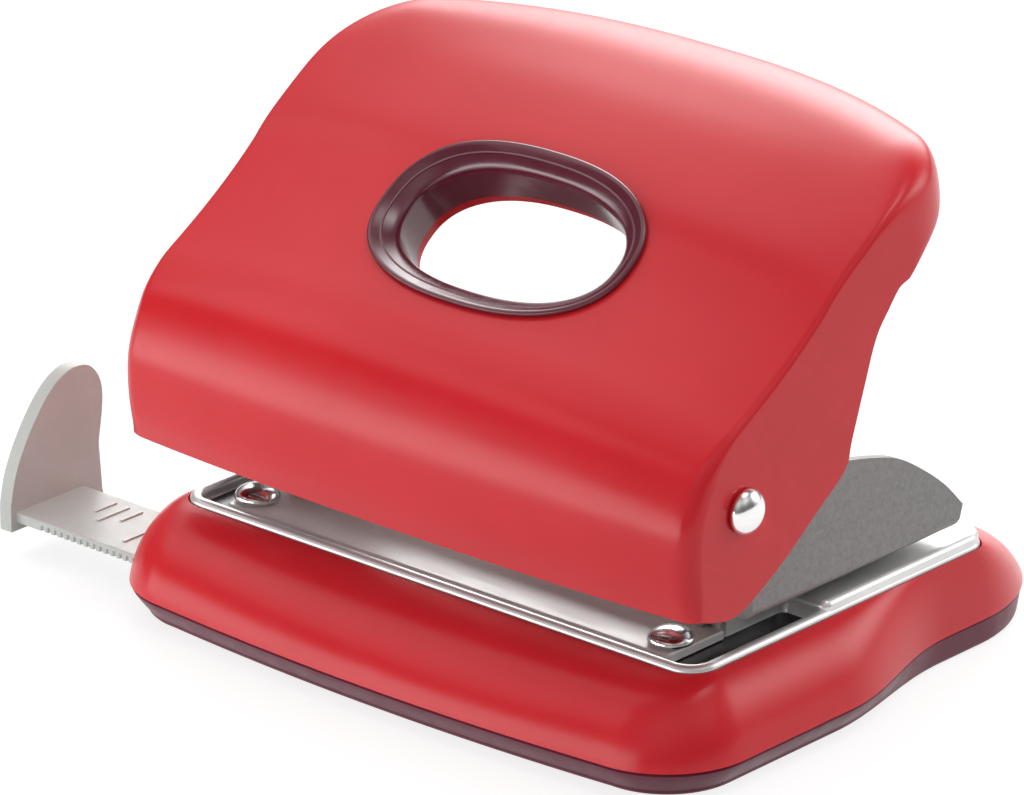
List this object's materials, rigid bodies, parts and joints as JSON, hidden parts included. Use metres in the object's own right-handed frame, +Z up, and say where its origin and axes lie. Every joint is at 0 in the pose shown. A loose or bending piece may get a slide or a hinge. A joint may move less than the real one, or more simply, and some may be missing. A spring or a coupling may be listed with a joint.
{
  "type": "two hole punch",
  "caption": "Desk hole punch with a hooded sprung lever, a finger hole, a chrome tray, a sliding side guide and a hinged chip cover.",
  "frame": {"origin": "on the desk plane, under the middle of the tray, on the mid-plane between the two holes", "axes": "+X along the row of holes towards the side without the guide, +Y towards the user and the lever's free end, +Z up"},
  "size_m": [0.1544, 0.1172, 0.0915],
  "materials": {
    "red_plastic": "satin red",
    "plum_plastic": "glossy dark plum",
    "chrome": "polished",
    "grey_steel": "fine grained grey",
    "tool_steel": "turned",
    "guide_plastic": "satin light grey",
    "rubber": "matt black",
    "screw_steel": "bright"
  },
  "bodies": {
    "base": {"base_casing": "red_plastic", "die_tray": "chrome", "punch_bracket": "grey_steel", "bracket_rivet_left": "chrome", "bracket_rivet_right": "chrome", "die_ring_left": "tool_steel", "die_ring_right": "tool_steel", "guide_bush_left": "tool_steel", "guide_bush_right": "tool_steel", "return_spring_left": "screw_steel", "return_spring_right": "screw_steel", "pivot_axle": "tool_steel", "pivot_cap_left": "chrome", "pivot_cap_right": "chrome", "pivot_spacer_left": "plum_plastic", "pivot_spacer_right": "plum_plastic", "foot_pad_front_left": "rubber", "foot_pad_front_right": "rubber", "foot_pad_back_left": "rubber", "foot_pad_back_right": "rubber", "tray_screw_front_left": "screw_steel", "tray_screw_front_right": "screw_steel", "tray_screw_back_left": "screw_steel", "tray_screw_back_right": "screw_steel", "cover_hinge_pin": "tool_steel"},
    "lever": {"lever_hood": "red_plastic", "lever_liner": "red_plastic", "hole_ring": "plum_plastic", "lever_yoke": "tool_steel", "press_rod": "tool_steel", "liner_screw_front_left": "screw_steel", "liner_screw_front_right": "screw_steel", "liner_screw_back_left": "screw_steel", "liner_screw_back_right": "screw_steel", "yoke_screw_left": "screw_steel", "yoke_screw_right": "screw_steel"},
    "left_pin": {"punch_pin_left": "tool_steel", "pin_clip_left": "screw_steel", "spring_washer_left": "tool_steel"},
    "right_pin": {"punch_pin_right": "tool_steel", "pin_clip_right": "screw_steel", "spring_washer_right": "tool_steel"},
    "guide": {"side_guide": "guide_plastic"},
    "cover": {"bottom_cover": "plum_plastic"}
  },
  "joints": [
    {"name": "lever_hinge", "type": "hinge", "parent": "base", "child": "lever", "pos_m": [0, -0.0318, 0.04535], "axis": [-1, 0, 0], "range_deg": [0, 20], "stiffness_Nm_per_rad": 1.2, "springref_deg": -8.59},
    {"name": "left_pin_slide", "type": "slide", "parent": "base", "child": "left_pin", "axis": [0, 0, -1], "range_m": [0, 0.0084], "deforming": ["return_spring_left"]},
    {"name": "right_pin_slide", "type": "slide", "parent": "base", "child": "right_pin", "axis": [0, 0, -1], "range_m": [0, 0.0084], "deforming": ["return_spring_right"]},
    {"name": "guide_slide", "type": "slide", "parent": "base", "child": "guide", "axis": [-1, 0, 0], "range_m": [-0.022, 0.03]},
    {"name": "cover_hinge", "type": "hinge", "parent": "base", "child": "cover", "pos_m": [0, 0.063, 0.005], "axis": [1, 0, 0], "range_deg": [0, 75]}
  ],
  "couplings": [
    {"joint": "left_pin_slide", "follows": "lever_hinge", "m_per_rad": 0.0236},
    {"joint": "right_pin_slide", "follows": "lever_hinge", "m_per_rad": 0.0236}
  ]
}
